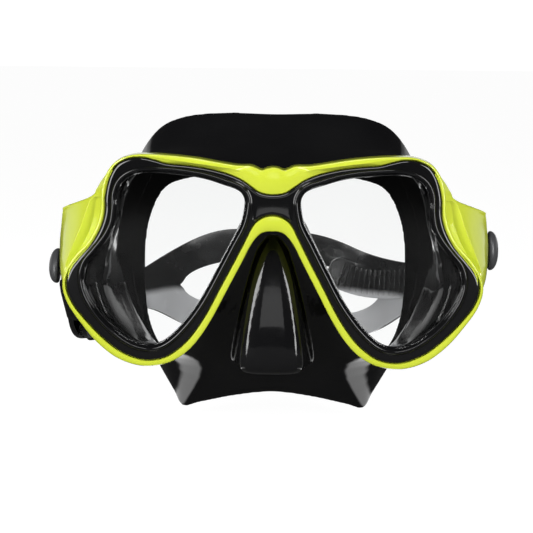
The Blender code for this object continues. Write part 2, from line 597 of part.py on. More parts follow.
def loop_line():
    """The strap's middle line from the outer side of the left roller to that of the right one."""
    ends = []
    for sign, angle in ((-1, LEFT_SWIVEL), (1, RIGHT_SWIVEL)):
        outs = ((0, WRAP_R), (8, WRAP_R - 0.5), (16, 2.2))
        ends.append([at_buckle(angle, sign, ROLLER_X + out, ROLLER_A + behind) for behind, out in outs])
    route = ends[0] + [Vector(p) for p in STRAP_ROUTE] + ends[1][::-1]
    return resample(catmull_rom(route, 10, False), 5.0)


def width_way(i, line):
    """Which way the strap's width lies at a point: square to a buckle at an end, upright behind the head."""
    t = i / (len(line) - 1)
    on_left = (t <= 0.5) == (line[0].x < 0)
    angle = math.radians(LEFT_SWIVEL if on_left else RIGHT_SWIVEL)
    share = min(1.0, min(t, 1 - t) / 0.28)
    share = share * share * (3 - 2 * share)
    along = (line[min(i + 1, len(line) - 1)] - line[max(i - 1, 0)]).normalized()
    way = Vector((0, -math.sin(angle), math.cos(angle))).lerp(Vector((0, 0.10, 1.0)), share)
    return (way - along * way.dot(along)).normalized()


def tail_line(line, sign, angle, length):
    """From a roller's outer side round its front, then back inside the strap to the tail's tip."""
    points = []
    for i in range(9):
        t = math.pi * i / 8
        points.append(at_buckle(angle, sign, ROLLER_X + WRAP_R * math.cos(t), ROLLER_A - WRAP_R * math.sin(t)))
    points.append(at_buckle(angle, sign, ROLLER_X - WRAP_R + 0.4, ROLLER_A + 7))
    walked = 0.0
    for i in range(1, len(line)):
        walked += (line[i] - line[i - 1]).length
        if walked > length:
            break
        if walked > 15:
            along = (line[i] - line[i - 1]).normalized()
            way = width_way(i, line)
            lift = TAIL_LIFT * (max(0.0, walked - KEEPER_AT - 10) / (RIGHT_TAIL - KEEPER_AT - 10))**2
            points.append(line[i] + way.cross(along) * sign * TAIL_GAP + way * lift)
    return points


def half_width(s):
    """The strap's half width at a distance along the loop."""
    if not PAD_START < s < PAD_END:
        return STRAP_HALF_WIDTH
    t = min(1.0, (s - PAD_START) / LEFT_FLARE, (PAD_END - s) / RIGHT_FLARE)
    t = t * t * (3 - 2 * t)
    return STRAP_HALF_WIDTH + (STRAP_PAD_HALF - STRAP_HALF_WIDTH) * t


def slot_half(s):
    middle, reach = (SLOT_START + SLOT_END) / 2, (SLOT_END - SLOT_START) / 2
    u = abs(s - middle) / reach
    return SLOT_HALF * math.sqrt(1 - u * u) if u < 1 else 0.0


def make_strap(mat):
    """The strap, laid out as a sheet along its line, with the split left open, then thickened."""
    line = loop_line()
    left = tail_line(line, -1, LEFT_SWIVEL, LEFT_TAIL)
    right = tail_line(line[::-1], 1, RIGHT_SWIVEL, RIGHT_TAIL)
    path = left[::-1] + line[1:-1] + right
    bm = bmesh.new()
    columns = []
    walked = 0.0
    for i, p in enumerate(path):
        k = i - len(left) + 1
        inside = 0 <= k < len(line)
        if inside and k > 0:
            walked += (line[k] - line[k - 1]).length
        along = (path[min(i + 1, len(path) - 1)] - path[max(i - 1, 0)]).normalized()
        nearest = min(range(len(line)), key=lambda j: (line[j] - p).length_squared)
        way = width_way(k if inside else nearest, line)
        way = (way - along * way.dot(along)).normalized()
        half = half_width(walked) if inside else STRAP_HALF_WIDTH
        if i in (0, len(path) - 1):
            half *= 0.6
        gap = slot_half(walked) if inside else 0.0
        ways = [half, gap, 0.0, -half] if gap == 0 else [half, gap, -gap, -half]
        column = [bm.verts.new((p + way * w) * MM) for w in ways[:2]]
        column.append(column[1] if gap == 0 else bm.verts.new((p + way * ways[2]) * MM))
        column.append(bm.verts.new((p + way * ways[3]) * MM))
        columns.append(column)
    for a, b in zip(columns, columns[1:]):
        bm.faces.new((a[0], a[1], b[1], b[0]))
        bm.faces.new((a[2], a[3], b[3], b[2]))
    bmesh.ops.recalc_face_normals(bm, faces=bm.faces)
    bm.normal_update()
    for v in bm.verts:
        v.co -= v.normal * STRAP_THICK / 2 * MM
    bmesh.ops.solidify(bm, geom=bm.faces[:], thickness=-STRAP_THICK * MM)
    return add_object("strap", finish_mesh(bm, "strap"), mat)


def make_keeper(side, sign, angle, mat):
    """A flat band round the strap and its tail."""
    line = loop_line()
    line = line if sign < 0 else line[::-1]
    walked, i = 0.0, 0
    while walked < KEEPER_AT:
        i += 1
        walked += (line[i] - line[i - 1]).length
    along = (line[i + 1] - line[i - 1]).normalized()
    way = width_way(i, line)
    inward = way.cross(along) * sign
    centre = line[i] + inward * TAIL_GAP / 2

    def ring(grow, shift):
        out, high = TAIL_GAP / 2 + STRAP_THICK / 2 + 0.7 + grow, STRAP_HALF_WIDTH + 0.7 + grow
        corners = ((out, high), (out, -high), (-out, -high), (-out, high))
        return [centre + inward * u + way * v + along * shift for u, v in corners]

    rings = [ring(0.0, -2.0), ring(1.1, -2.0), ring(1.1, 2.0), ring(0.0, 2.0)]
    return add_object(f"strap_keeper_{side}", loft(rings, ring_closed=True), mat)


def main():
    clear_scene()
    mats = {
        "lime": material("lime_plastic", (0.62, 0.78, 0.03), 0.25),
        "black": material("black_plastic", (0.012, 0.012, 0.013), 0.22),
        "button": material("button_plastic", (0.10, 0.10, 0.10), 0.45),
        "silicone": material("black_silicone", (0.010, 0.010, 0.011), 0.16),
        "glass": material("tempered_glass", (0.95, 0.97, 0.97), 0.02),
        "steel": material("stainless_steel", (0.62, 0.63, 0.65), 0.25, 1.0),
    }
    make_chassis(mats["lime"])
    make_bezel(mats["black"])
    make_lens("lens_right", 0, mats["glass"])
    make_lens("lens_left", 1, mats["glass"])
    make_skirt(mats["silicone"])
    for side, sign, angle in (("left", -1, LEFT_SWIVEL), ("right", 1, RIGHT_SWIVEL)):
        make_pivot_pin(side, sign, mats["steel"])
        make_buckle(side, sign, angle, mats)
        make_keeper(side, sign, angle, mats["silicone"])
    make_strap(mats["silicone"])


main()
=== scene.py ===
"""Looks of the two-window snorkel mask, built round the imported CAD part.

The CAD's own shapes are built again here at a finer step, with rounded edges. Each rides on the body whose
CAD node it stands for. Lengths are in millimetres until the meshes are made.
"""

import math

import bmesh
import bpy
from mathutils import Matrix, Vector


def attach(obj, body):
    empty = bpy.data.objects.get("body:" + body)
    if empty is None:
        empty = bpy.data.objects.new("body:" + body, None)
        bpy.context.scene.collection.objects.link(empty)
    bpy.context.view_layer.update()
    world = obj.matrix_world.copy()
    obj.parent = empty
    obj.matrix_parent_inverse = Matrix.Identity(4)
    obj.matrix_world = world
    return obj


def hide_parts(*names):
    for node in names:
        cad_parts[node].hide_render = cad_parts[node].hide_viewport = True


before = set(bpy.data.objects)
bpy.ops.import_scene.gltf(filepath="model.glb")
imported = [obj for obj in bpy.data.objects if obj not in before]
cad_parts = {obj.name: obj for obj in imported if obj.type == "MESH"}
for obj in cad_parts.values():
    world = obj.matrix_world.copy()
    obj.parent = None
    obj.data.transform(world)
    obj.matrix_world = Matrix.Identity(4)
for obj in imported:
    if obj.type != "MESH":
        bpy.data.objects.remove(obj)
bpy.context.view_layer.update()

MM = 0.001
OUTLINE_STEPS = 6                       # steps from each outline point to the next
WALL_STEPS = 4                          # steps from each of the skirt's wall stations to the next
LIP_STEPS = 3

# ---- shapes shared with the CAD ----------------------------------------------------------------------
SWEEP = math.tan(math.radians(8.0))
BRIDGE_HALF = 12.0
BEZEL_FRONT, BEZEL_BACK = -3.6, -0.3
FIT = 0.3
PLATE_BACK = 5.5
FRAME_FRONT, FRAME_BACK = -2.6, 8.6
SKIRT_WALL = 1.5
STRAP_THICK, STRAP_HALF_WIDTH, STRAP_PAD_HALF = 2.0, 7.2, 25.5
PIVOT_Y, PIVOT_Z = 21.5, 5.0
LEFT_SWIVEL, RIGHT_SWIVEL = -46.0, -10.0
EAR_SEAT_X = 76.6
PIVOT_BORE_R, TONGUE_R = 2.3, 6.4
ROLLER_A, ROLLER_X, ROLLER_R = 33.0, 80.8, 2.5
WRAP_R = ROLLER_R + FIT + STRAP_THICK / 2
CHEEK_IN, CHEEK_OUT = 7.9, 9.5
BODY_START, BODY_END = 11.0, 38.5
PAWL_A, PAWL_X, PAWL_PIN_R = 22.5, 79.4, 0.8
BUTTON_A, BUTTON_LONG, BUTTON_WIDE, BUTTON_BASE_X = 14.4, 8.0, 5.6, 86.9
BRIDGE_LOW_X, BRIDGE_HIGH_X, STEM_R = 84.1, 85.4, 1.4
PAD_START, PAD_END, LEFT_FLARE, RIGHT_FLARE = 74.0, 244.0, 60.0, 80.0
SLOT_START, SLOT_END, SLOT_HALF = 107.0, 205.0, 12.5
TAIL_GAP = 3.4
LEFT_TAIL, RIGHT_TAIL, TAIL_LIFT = 58.0, 121.0, 11.0
KEEPER_AT = 38.0
EAR_THICK, EAR_SLOPE = 2.7, 0.34

# Half outlines in (x, z), from the top middle round one window to the bottom middle.
BEZEL_HALF = [
    (0, 26.6), (4.8, 27.3), (8.7, 29.8), (12.5, 32.3), (18.3, 34.6), (26, 36.4), (33.7, 37.4),
    (41.4, 38.0), (46.2, 39.2), (51.5, 40.2), (56.8, 39.6), (61.2, 37.2), (63.8, 33.4), (65.3, 28.7),
    (66.0, 24.0), (66.1, 18.5), (67.9, 12.2), (71.6, 5.8), (76.6, 0.2), (80.6, -5.6), (81.5, -11.3),
    (79.0, -17.6), (73.7, -24.2), (67.0, -30.9), (59.6, -36.3), (51.0, -39.3), (43.2, -38.5),
    (37.2, -35.0), (31.8, -29.6), (26.0, -21.0), (20.2, -9.8), (14.4, 1.3), (10.4, 9.3), (7.6, 14.7),
    (4.4, 17.6), (0, 18.7),
]
GLASS = [
    (11.0, 22.8), (11.7, 26.2), (14.0, 28.3), (19.0, 30.0), (26.0, 32.1), (33.7, 33.4), (41.4, 34.1),
    (49.1, 34.2), (55.0, 33.0), (59.0, 30.1), (60.8, 25.7), (61.0, 19.9), (62.0, 13.7), (64.9, 8.0),
    (69.2, 2.5), (73.0, -2.4), (74.1, -8.4), (72.2, -15.0), (67.1, -22.3), (60.8, -28.2), (54.9, -31.9),
    (49.1, -33.3), (44.0, -32.3), (39.2, -28.9), (33.5, -22.6), (27.9, -14.4), (22.1, -3.5), (16.4, 7.7),
    (12.5, 15.4),
]
FRAME_HALF = [
    (0, 37.3), (2.2, 36.9), (4.4, 36.2), (6.6, 37.0), (9.0, 37.8), (14.4, 37.9), (22.0, 39.0),
    (30.0, 40.3), (39.5, 41.2), (49.0, 41.6), (55.6, 41.1), (61.3, 38.8), (65.0, 34.6), (67.0, 29.2),
    (67.6, 24.0), (67.8, 18.8), (69.5, 12.8), (73.0, 6.7), (78.2, 1.0), (82.0, -5.2), (83.0, -11.4),
    (80.8, -18.2), (75.6, -25.6), (69.1, -33.0), (61.0, -39.0), (51.6, -41.8), (42.4, -40.9),
    (35.4, -37.4), (29.6, -31.8), (23.8, -23.0), (18.0, -11.8), (12.2, -0.6), (8.4, 6.9), (5.4, 10.8),
    (2.8, 12.2), (0, 12.4),
]
PLATE_BROW = [(0, 33.4), (6.0, 33.4), (12.0, 33.6)]

# The skirt's rings, in (x, y, z), from the brow round to the upper lip.
SKIRT_NECK = [
    (0, 12, 33.5), (18, 13, 35.6), (38, 16, 36.8), (51, 18, 37.0), (60, 20, 28.5), (62.8, 21, 14.0),
    (67.0, 22, 0.5), (69.5, 22, -12.5), (62.0, 20, -29.0), (50.5, 18, -36.0), (38.0, 15.5, -32.5),
    (26.0, 13, -17.5), (13.5, 11, 3.0), (0, 10, 16.0),
]
SKIRT_WAIST = [
    (0, 24, 40.5), (19, 24.5, 41.4), (38, 26, 41.0), (50, 28, 38.2), (58.5, 32, 28.0), (62.6, 35, 12.0),
    (65.0, 36, -3.0), (64.5, 35, -16.5), (57.0, 33, -31.5), (45.5, 29, -39.0), (33.5, 25, -38.0),
    (22.0, 21, -30.5), (11.0, 18, -22.0), (0, 17, -18.0),
]
SKIRT_SHOULDER = [
    (0, 33, 46.2), (19, 33.5, 46.6), (37.4, 35.5, 44.8), (49.8, 39, 39.4), (58.2, 45, 27.5),
    (63.0, 50, 11.0), (63.6, 51, -6.0), (60.5, 49, -20.5), (54.0, 45.5, -33.5), (44.5, 40.5, -43.4),
    (32.0, 34.5, -46.4), (21.0, 30.5, -46.4), (10.5, 28.6, -45.8), (0, 28.1, -45.6),
]
SKIRT_RIM = [
    (0, 46, 56.6), (20, 46.5, 57.0), (38.0, 48.5, 55.0), (49.8, 52, 48.6), (59.2, 57, 33.0),
    (64.6, 61.5, 13.0), (66.0, 62.5, -6.0), (63.0, 60.5, -22.0), (55.4, 57, -36.5), (42.6, 50.9, -57.6),
    (37.8, 49.2, -65.4), (30.6, 45.8, -63.4), (15.0, 40.6, -59.3), (0, 38.8, -57.4),
]
SKIRT_SEAL = [
    (0, 49.5, 44.5), (20, 50, 44.3), (38.5, 52, 42.0), (48.5, 55.5, 35.8), (55.5, 60, 24.0),
    (60.6, 64, 9.0), (61.2, 65, -6.0), (58.8, 63.5, -20.2), (53.4, 60.6, -34.4), (42.2, 55.4, -49.2),
    (33.8, 51, -55.8), (25.0, 46.8, -54.8), (13.0, 42.8, -52.8), (0, 41.6, -51.8),
]
SKIRT_LIP = [
    (0, 46.0, 33.5), (20, 46.5, 32.0), (36.5, 48.5, 29.6), (45.6, 51.5, 25.4), (51.2, 55.5, 15.6),
    (53.8, 58.5, 4.5), (54.4, 59.5, -7.0), (54.0, 59.0, -18.8), (52.0, 57.2, -31.0), (46.6, 54.0, -41.4),
    (34.6, 48.0, -47.8), (22.0, 43.2, -47.8), (11.0, 40.2, -46.4), (0, 39.4, -46.0),
]

# The nose pocket's level sections: height, half width in front, depth in front, half width behind.
NOSE_LEVELS = [
    (12.5, 1.4, 13.5, 4.0), (9.0, 2.6, 10.8, 6.4), (3.0, 4.6, 8.0, 9.2), (-6.0, 6.7, 5.2, 11.8),
    (-17.0, 8.7, 2.4, 14.2), (-29.0, 10.4, 0.6, 16.0), (-40.2, 11.2, 0.2, 17.2), (-43.4, 10.2, 1.6, 16.8),
    (-44.6, 8.2, 4.2, 15.6),
]
NOSE_BACK = 33.0

# The ear's level sections: height, then its outer face from the bezel's rim to its rear edge, in (x, y).
EAR_LEVELS = [
    (35.0, [(63.0, 5.8), (63.6, 6.6), (64.0, 7.4), (64.3, 8.2), (64.6, 9.2)]),
    (31.0, [(65.0, 6.0), (65.8, 6.8), (66.4, 7.6), (67.0, 8.6), (67.6, 9.8)]),
    (27.4, [(66.0, 6.2), (67.2, 7.6), (68.2, 8.4), (69.0, 9.4), (69.8, 10.6)]),
    (24.8, [(66.3, 6.4), (68.4, 8.2), (69.8, 8.8), (71.0, 9.8), (72.0, 11.2)]),
    (23.8, [(66.4, 6.6), (69.2, 9.2), (71.6, 9.4), (77.6, 15.2), (83.6, 22.6)]),
    (21.6, [(66.6, 6.4), (70.0, 10.0), (73.0, 9.6), (79.0, 15.8), (84.8, 24.2)]),
    (14.0, [(67.8, 6.4), (71.4, 11.2), (75.6, 9.4), (81.2, 16.4), (85.6, 26.0)]),
    (6.0, [(72.0, 6.8), (74.8, 11.2), (78.6, 9.8), (83.2, 16.8), (86.2, 26.4)]),
    (0.6, [(76.2, 7.4), (78.0, 10.8), (80.8, 10.0), (84.0, 16.0), (86.0, 24.0)]),
    (-3.2, [(79.4, 7.8), (80.4, 10.2), (82.0, 10.2), (84.2, 14.8), (85.4, 19.6)]),
    (-7.5, [(80.6, 8.0), (81.2, 9.0), (82.5, 10.0), (83.6, 12.4), (84.4, 15.2)]),
    (-12.5, [(80.8, 8.2), (81.2, 9.0), (81.8, 9.8), (82.2, 10.8), (82.5, 12.0)]),
]

# The strap's middle line behind the buckles, in (x, y, z).
STRAP_ROUTE = [
    (-80.2, 74, -33.5), (-72.5, 97, -30.0), (-58.5, 119, -24.5), (-36.0, 138.0, -24.5), (0, 147.5, -25.5),
    (36.0, 139.5, -28.0), (59.0, 121, -22.2), (74.0, 98, -14.5), (82.0, 77, -6.5),
]


# ---- small tools -------------------------------------------------------------------------------------
def catmull_rom(points, steps, closed):
    """A smooth line through the points, with this many steps from each to the next."""
    points = [Vector(p) for p in points]
    count = len(points)
    line = []
    for i in range(count if closed else count - 1):
        if closed:
            a, b, c, d = (points[(i + k) % count] for k in (-1, 0, 1, 2))
        else:
            b, c = points[i], points[i + 1]
            a = points[i - 1] if i > 0 else 2 * b - c
            d = points[i + 2] if i + 2 < count else 2 * c - b
        for s in range(steps):
            t = s / steps
            bend = (2 * a - 5 * b + 4 * c - d) * t**2 + (3 * b - a - 3 * c + d) * t**3
            line.append(0.5 * (2 * b + (c - a) * t + bend))
    if not closed:
        line.append(points[-1])
    return line


def both_sides(half):
    """A whole outline from its half: the first and last points lie on the middle plane."""
    return half + [(-p[0], *p[1:]) for p in reversed(half[1:-1])]


def outset(loop, distance):
    """A clockwise (x, z) loop moved outwards by the distance."""
    moved = []
    for i, p in enumerate(loop):
        along = (loop[(i + 1) % len(loop)] - loop[i - 1]).normalized()
        moved.append(p + Vector((-along.y, along.x)) * distance)
    return moved


def sweep_back(x):
    """How far back the mask's front lies at this x: curved over the bridge, flat over each window."""
    x = abs(x)
    return SWEEP * (x * x / (2 * BRIDGE_HALF) if x < BRIDGE_HALF else x - BRIDGE_HALF / 2)


def finish_mesh(bm, name):
    bmesh.ops.recalc_face_normals(bm, faces=bm.faces)
    mesh = bpy.data.meshes.new(name)
    bm.to_mesh(mesh)
    bm.free()
    return mesh


def loft(rings, ring_closed=False):
    """A solid through rings of equal length. With ring_closed the last ring joins the first."""
    bm = bmesh.new()
    rows = [[bm.verts.new(Vector(p) * MM) for p in ring] for ring in rings]
    for r in range(len(rows) if ring_closed else len(rows) - 1):
        a, b = rows[r], rows[(r + 1) % len(rows)]
        for i in range(len(a)):
            j = (i + 1) % len(a)
            bm.faces.new((a[i], a[j], b[j], b[i]))
    if not ring_closed:
        bm.faces.new(rows[0])
        bm.faces.new(reversed(rows[-1]))
    return finish_mesh(bm, "loft")


def prism(loop, y0, y1):
    return loft([[(p[0], y, p[1]) for p in loop] for y in (y0, y1)])


def cylinder(radius, start, end, segments=48):
    start, end = Vector(start), Vector(end)
    turn = (end - start).to_track_quat("Z", "Y").to_matrix()
    circle = [2 * math.pi * i / segments for i in range(segments)]
    return loft([[c + turn @ Vector((radius * math.cos(t), radius * math.sin(t), 0)) for t in circle]
                 for c in (start, end)])


def box_mesh(low, high):
    return loft([[(x, low[1], low[2]), (x, high[1], low[2]), (x, high[1], high[2]), (x, low[1], high[2])]
                 for x in (low[0], high[0])])


def applied(mesh, *settings):
    """The mesh after modifiers, each given as (kind, {setting: value})."""
    obj = bpy.data.objects.new("work", mesh)
    bpy.context.scene.collection.objects.link(obj)
    for kind, values in settings:
        modifier = obj.modifiers.new("step", kind)
        for key, value in values.items():
            setattr(modifier, key, value)
    graph = bpy.context.evaluated_depsgraph_get()
    result = bpy.data.meshes.new_from_object(obj.evaluated_get(graph))
    bpy.data.objects.remove(obj)
    return result


def combine(base, steps):
    """The mesh left after joining ("UNION") or cutting ("DIFFERENCE") the other meshes in turn."""
    for operation, mesh in steps:
        tool = bpy.data.objects.new("tool", mesh)
        bpy.context.scene.collection.objects.link(tool)
        base = applied(base, ("BOOLEAN", {"operation": operation, "solver": "EXACT", "object": tool}))
        bpy.data.objects.remove(tool)
    return base


def rounded(mesh, width, segments=3, angle=32):
    return applied(mesh, ("BEVEL", {"width": width * MM, "segments": segments, "limit_method": "ANGLE",
                                    "angle_limit": math.radians(angle), "harden_normals": False}))


def joined(meshes):
    bm = bmesh.new()
    for mesh in meshes:
        bm.from_mesh(mesh)
    out = bpy.data.meshes.new("joined")
    bm.to_mesh(out)
    bm.free()
    return out


def bend_to_sweep(mesh, cuts=14):
    """Sweeps a front piece back, after cutting it where the bridge curves so that it bends smoothly."""
    bm = bmesh.new()
    bm.from_mesh(mesh)
    places = [BRIDGE_HALF * k / cuts * MM for k in range(-cuts, cuts + 1)] if cuts else []
    for x in places:
        geometry = bm.verts[:] + bm.edges[:] + bm.faces[:]
        bmesh.ops.bisect_plane(bm, geom=geometry, dist=1e-7, plane_co=(x, 0, 0), plane_no=(1, 0, 0))
    for v in bm.verts:
        v.co.y += sweep_back(v.co.x / MM) * MM
    bm.to_mesh(mesh)
    bm.free()
    return mesh


def mirrored(mesh):
    copy = mesh.copy()
    copy.transform(Matrix.Scale(-1, 4, (1, 0, 0)))
    copy.flip_normals()
    return copy


def show(name, mesh, mat, body, nodes=(), sharp=35):
    """Puts a finished mesh in the scene on its body, in place of the CAD nodes it stands for."""
    mesh.materials.clear()
    mesh.materials.append(mat)
    mesh.shade_smooth()
    mesh.set_sharp_from_angle(angle=math.radians(sharp))
    obj = bpy.data.objects.new(name, mesh)
    bpy.context.scene.collection.objects.link(obj)
    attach(obj, body)
    if nodes:
        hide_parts(*nodes)


# ---- materials ---------------------------------------------------------------------------------------
def maths(tree, operation, first, second=0.0):
    node = tree.nodes.new("ShaderNodeMath")
    node.operation = operation
    for socket, value in zip(node.inputs, (first, second)):
        if isinstance(value, bpy.types.NodeSocket):
            tree.links.new(value, socket)
        else:
            socket.default_value = value
    return node.outputs[0]


def eased(tree, value, start, end):
    """0 before start, 1 after end, smooth between."""
    node = tree.nodes.new("ShaderNodeMapRange")
    node.interpolation_type = "SMOOTHSTEP"
    tree.links.new(value, node.inputs["Value"])
    node.inputs["From Min"].default_value, node.inputs["From Max"].default_value = start, end
    return node.outputs["Result"]


class Nodes:
    """A small helper that adds and links shader nodes."""

    def __init__(self, name):
        self.mat = bpy.data.materials.new(name)
        self.mat.use_nodes = True
        self.tree = self.mat.node_tree
        self.shader = self.tree.nodes["Principled BSDF"]
        self.output = self.tree.nodes["Material Output"]
        self.place = self.add("ShaderNodeTexCoord").outputs["Object"]

    def add(self, kind, settings=None, **inputs):
        node = self.tree.nodes.new(kind)
        for key, value in (settings or {}).items():
            setattr(node, key, value)
        for key, value in inputs.items():
            self.set(node, key, value)
        return node

    def set(self, node, key, value):
        socket = node.inputs[key if isinstance(key, int) else key.replace("_", " ")]
        if isinstance(value, bpy.types.NodeSocket):
            self.tree.links.new(value, socket)
        else:
            socket.default_value = value

    def noise(self, scale, detail=3.0, rough=0.5):
        return self.add("ShaderNodeTexNoise", Vector=self.place, Scale=scale, Detail=detail, Roughness=rough)

    def ranged(self, value, low, high):
        """The noise's useful middle stretched from low to high."""
        node = self.add("ShaderNodeMapRange", Value=value, From_Min=0.3, From_Max=0.7, To_Min=low, To_Max=high)
        return node.outputs["Result"]

    def maths(self, operation, first, second=0.0):
        return maths(self.tree, operation, first, second)

    def eased(self, value, start, end):
        return eased(self.tree, value, start, end)

    def bumped(self, height, strength, distance):
        node = self.add("ShaderNodeBump", Height=height, Strength=strength, Distance=distance)
        self.tree.links.new(node.outputs["Normal"], self.shader.inputs["Normal"])

    def colours(self, factor, dark, light):
        self.tree.links.new(self.blend(factor, dark, light), self.shader.inputs["Base Color"])

    def blend(self, factor, first, second):
        """One colour or the other, by the factor."""
        node = self.add("ShaderNodeMix", {"data_type": "RGBA"})
        self.tree.links.new(factor, node.inputs["Factor"])
        node.inputs[6].default_value = (*first, 1.0)
        node.inputs[7].default_value = (*second, 1.0)
        return node.outputs[2]


def moulded(name, dark, light, rough, coat=0.0, grain=900.0, bump=0.04, flow=28.0):
    """Moulded plastic or silicone: faint clouding from the melt, uneven gloss and a very fine grain."""
    n = Nodes(name)
    cloud = n.noise(flow, 4.0).outputs["Fac"]
    n.colours(n.ranged(cloud, 0.0, 1.0), dark, light)
    smear = n.noise(flow * 5, 3.0).outputs["Fac"]
    n.set(n.shader, "Roughness", n.ranged(smear, rough * 0.82, rough * 1.25))
    n.set(n.shader, "Coat Weight", coat)
    n.set(n.shader, "Coat Roughness", 0.08)
    wave = n.noise(flow * 1.6, 2.0).outputs["Fac"]
    fine = n.noise(grain, 2.0).outputs["Fac"]
    height = n.add("ShaderNodeMath", {"operation": "MULTIPLY_ADD"})
    n.set(height, 0, fine)
    n.set(height, 1, 0.05)
    n.set(height, 2, wave)
    n.bumped(height.outputs[0], bump, 0.0012)
    return n.mat


# Where the strap's painted sheen lies, in metres: below these heights and behind these depths.
SHEEN_LOW, SHEEN_HIGH = -0.0262, -0.0222
SHEEN_FROM, SHEEN_FULL = 0.108, 0.120


def strap_silicone(name):
    """Black silicone. Its lower band's inner face carries a painted reflection: pale colour with a little
    emission, which no light makes.
    """
    n = Nodes(name)
    cloud = n.noise(34.0, 4.0).outputs["Fac"]
    where = n.add("ShaderNodeSeparateXYZ", Vector=n.place)
    facing = n.add("ShaderNodeSeparateXYZ", Vector=n.add("ShaderNodeTexCoord").outputs["Normal"])
    inner = n.maths("SUBTRACT", 1.0, n.eased(facing.outputs["Y"], -0.65, -0.25))
    drift = n.maths("MULTIPLY", cloud, 0.004)
    height = n.maths("ADD", where.outputs["Z"], drift)
    below = n.maths("SUBTRACT", 1.0, n.eased(height, SHEEN_LOW, SHEEN_HIGH))
    behind = n.eased(where.outputs["Y"], SHEEN_FROM, SHEEN_FULL)
    sheen = n.maths("MULTIPLY", n.maths("MULTIPLY", inner, below), behind)
    # Painted reflection: pale colour and faint emission on the lower band's inner face, where no light falls.
    n.colours(sheen, (0.014, 0.014, 0.0145), (0.66, 0.66, 0.67))
    n.set(n.shader, "Emission Color", (0.95, 0.96, 1.0, 1.0))
    n.set(n.shader, "Emission Strength", n.maths("MULTIPLY", sheen, n.maths("MULTIPLY", cloud, 0.32)))
    smear = n.noise(150.0, 3.0).outputs["Fac"]
    n.set(n.shader, "Roughness", n.ranged(smear, 0.16, 0.30))
    n.bumped(n.noise(60.0, 3.0).outputs["Fac"], 0.08, 0.0012)
    return n.mat


def lens_glass(name):
    """Clear flat glass: nearly all of what is behind it shows, with a clean reflection and faint smears."""
    n = Nodes(name)
    n.tree.nodes.remove(n.shader)
    smear = n.noise(45.0, 5.0, 0.6).outputs["Fac"]
    fresnel = n.add("ShaderNodeFresnel", IOR=1.5)
    share = n.maths("MULTIPLY", fresnel.outputs[0], n.ranged(smear, 0.7, 1.0))
    tint = n.blend(n.ranged(smear, 0.0, 1.0), (0.988, 0.994, 0.992), (0.997, 1.0, 0.999))
    clear = n.add("ShaderNodeBsdfTransparent", Color=tint)
    gloss = n.add("ShaderNodeBsdfGlossy", Roughness=n.ranged(smear, 0.01, 0.04))
    mix = n.add("ShaderNodeMixShader")
    for socket, source in enumerate((share, clear.outputs[0], gloss.outputs[0])):
        n.set(mix, socket, source)
    n.set(n.output, "Surface", mix.outputs[0])
    return n.mat


def steel(name):
    """Drawn stainless steel with fine scratches."""
    n = Nodes(name)
    n.set(n.shader, "Metallic", 1.0)
    scratch = n.noise(2600.0, 3.0).outputs["Fac"]
    n.colours(n.ranged(scratch, 0.0, 1.0), (0.52, 0.53, 0.55), (0.66, 0.67, 0.69))
    n.set(n.shader, "Roughness", n.ranged(scratch, 0.18, 0.34))
    n.bumped(scratch, 0.06, 0.0002)
    return n.mat


lime = moulded("lime_plastic", (0.600, 0.690, 0.040), (0.670, 0.760, 0.058), 0.16, coat=0.3, bump=0.03)
black = moulded("black_gloss_plastic", (0.0045, 0.0046, 0.005), (0.007, 0.007, 0.0075), 0.06, bump=0.02)
buckle_black = moulded("black_buckle_plastic", (0.007, 0.007, 0.0075), (0.012, 0.012, 0.013), 0.18, bump=0.05)
button_grey = moulded("button_plastic", (0.060, 0.061, 0.064), (0.085, 0.086, 0.090), 0.34,
                      grain=1600.0, bump=0.08)
silicone = moulded("black_silicone", (0.0040, 0.0040, 0.0045), (0.0065, 0.0065, 0.007), 0.09,
                   bump=0.05, flow=34.0)
strap_rubber = strap_silicone("strap_silicone")
glass = lens_glass("tempered_glass")
stainless = steel("stainless_steel")


# ---- outlines ----------------------------------------------------------------------------------------
def window(distance):
    """Both windows' outlines, moved outwards from the edge of the visible glass."""
    right = outset(catmull_rom(GLASS, OUTLINE_STEPS, True), distance)
    return right, [Vector((-p.x, p.y)) for p in reversed(right)]


def at_depth(loop, y):
    return [(p.x, y, p.y) for p in loop]


PLATE_HALF = PLATE_BROW + [tuple(p) for p in BEZEL_HALF[len(PLATE_BROW) + 1:]]

bezel_line = catmull_rom(both_sides(BEZEL_HALF), OUTLINE_STEPS, True)
frame_line = catmull_rom(both_sides(FRAME_HALF), OUTLINE_STEPS, True)
plate_line = catmull_rom(both_sides(PLATE_HALF), OUTLINE_STEPS, True)


# ---- the frame ---------------------------------------------------------------------------------------
def ear_shell():
    """The swept ear: a curved wall, scooped beside the bezel and ridged where it turns back."""
    levels = [[z] + [c for p in face for c in p] for z, face in EAR_LEVELS]
    fine = []
    for i in range(len(levels) - 1):
        a = levels[max(i - 1, 0)]
        b, c = levels[i], levels[i + 1]
        d = levels[min(i + 2, len(levels) - 1)]
        for s in range(6 if i < len(levels) - 2 else 7):
            t = s / 6
            fine.append([0.5 * (2 * q + (r - p) * t + (2 * p - 5 * q + 4 * r - u) * t**2
                                + (3 * q - p - 3 * r + u) * t**3) for p, q, r, u in zip(a, b, c, d)])
    rings = []
    for level in fine:
        z, face = level[0], [Vector(level[k:k + 2]) for k in range(1, len(level), 2)]
        inner = []
        for i, p in enumerate(face):
            along = (face[min(i + 1, len(face) - 1)] - face[max(i - 1, 0)]).normalized()
            inner.append(p + Vector((-along.y, along.x)) * EAR_THICK)
        ring = []
        for p in face + inner[::-1]:
            drop = EAR_SLOPE * max(0.0, p.x - 71.0) * max(0.0, (z - 6.0) / 17.6)
            ring.append((p.x, p.y, z - drop))
        rings.append(ring)
    return rounded(loft(rings), 0.55, 3, 26)


